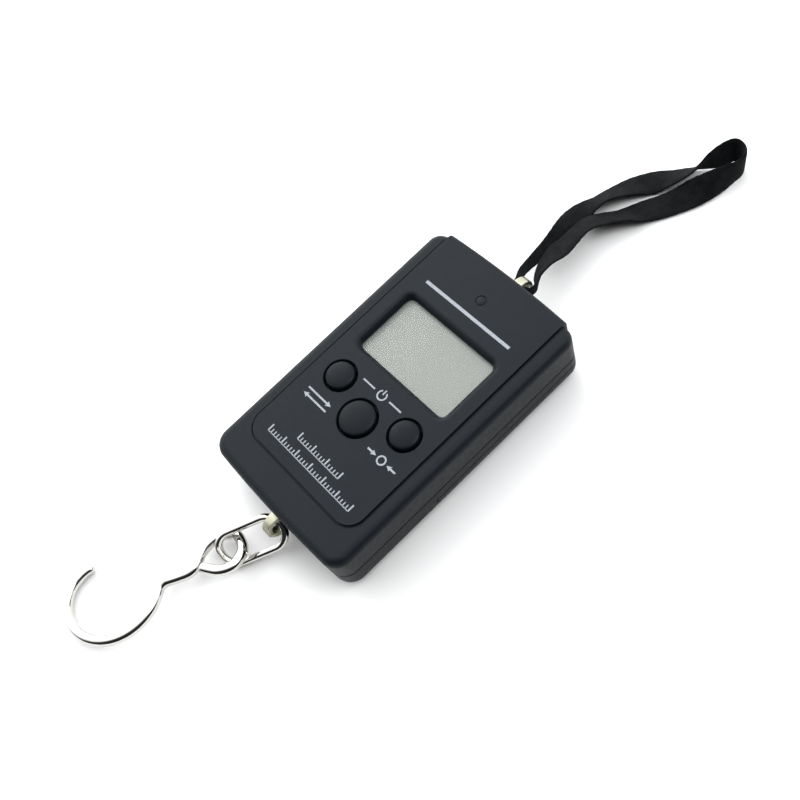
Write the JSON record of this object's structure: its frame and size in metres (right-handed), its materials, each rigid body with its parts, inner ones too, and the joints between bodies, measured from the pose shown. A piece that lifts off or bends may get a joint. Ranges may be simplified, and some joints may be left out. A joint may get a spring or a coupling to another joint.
{
  "type": "digital fish scale",
  "caption": "Pocket hanging scale: flat dark case with a display and three buttons, a steel ring and hook on one end and a webbing wrist strap on the other.",
  "frame": {"origin": "middle of the flat back, on the battery door's outer face", "axes": "+Z out of the front, +Y along the case towards the strap end, +X to the right seen from the front"},
  "size_m": [0.0596, 0.2197, 0.0205],
  "materials": {
    "case_plastic": "satin",
    "button_rubber": "satin",
    "clear_plastic": "gloss",
    "display_glass": "satin",
    "contact_rubber": "matte",
    "board": "gloss",
    "dark_plastic": "matte",
    "zinc_plate": "satin",
    "battery_wrap": "gloss",
    "nickel_plate": "satin",
    "chrome_wire": "gloss",
    "webbing": "matte"
  },
  "bodies": {
    "root": {"front_case": "case_plastic", "rear_case": "case_plastic", "lcd_lens": "clear_plastic", "lcd_glass": "display_glass", "lcd_elastomer": "contact_rubber", "circuit_board": "board", "controller_blob": "dark_plastic", "unit_switch": "dark_plastic", "power_switch": "dark_plastic", "tare_switch": "dark_plastic", "load_cell": "zinc_plate", "gauge_coating_left": "dark_plastic", "gauge_coating_right": "dark_plastic", "sensor_lead": "dark_plastic", "battery_left": "battery_wrap", "battery_right": "battery_wrap", "contact_plate_hook_left": "nickel_plate", "contact_plate_hook_right": "nickel_plate", "bridge_contact": "nickel_plate", "battery_spring_left": "nickel_plate", "battery_spring_right": "nickel_plate", "case_screw_1": "nickel_plate", "case_screw_2": "nickel_plate", "case_screw_3": "nickel_plate", "case_screw_4": "nickel_plate", "board_screw_1": "nickel_plate", "board_screw_2": "nickel_plate", "board_screw_3": "nickel_plate", "board_screw_4": "nickel_plate"},
    "battery_door": {"battery_door": "case_plastic"},
    "unit_button": {"unit_button": "button_rubber"},
    "power_button": {"power_button": "button_rubber"},
    "tare_button": {"tare_button": "button_rubber"},
    "link": {"link": "chrome_wire"},
    "hook": {"hook": "chrome_wire"},
    "strap": {"strap": "webbing"}
  },
  "joints": [
    {"name": "unit_button", "type": "slide", "parent": "root", "child": "unit_button", "axis": [0, 0, -1], "range_m": [0, 0.0006], "stiffness_N_per_m": 800},
    {"name": "power_button", "type": "slide", "parent": "root", "child": "power_button", "axis": [0, 0, -1], "range_m": [0, 0.0006], "stiffness_N_per_m": 800},
    {"name": "tare_button", "type": "slide", "parent": "root", "child": "tare_button", "axis": [0, 0, -1], "range_m": [0, 0.0006], "stiffness_N_per_m": 800},
    {"name": "battery_door", "type": "slide", "parent": "root", "child": "battery_door", "axis": [0, 1, 0], "range_m": [0, 0.007]},
    {"name": "link", "type": "hinge", "parent": "root", "child": "link", "pos_m": [0, -0.0438, 0.0083], "axis": [1, 0, 0], "range_deg": [-80, 30]},
    {"name": "hook", "type": "hinge", "parent": "link", "child": "hook", "pos_m": [-0.00673, -0.05953, 0.00369], "axis": [-0.1052, 0.0184, 0.9943], "range_deg": [-60, 45]},
    {"name": "strap", "type": "hinge", "parent": "root", "child": "strap", "pos_m": [0, 0.0438, 0.0083], "axis": [1, 0, 0], "range_deg": [-60, 45]}
  ]
}
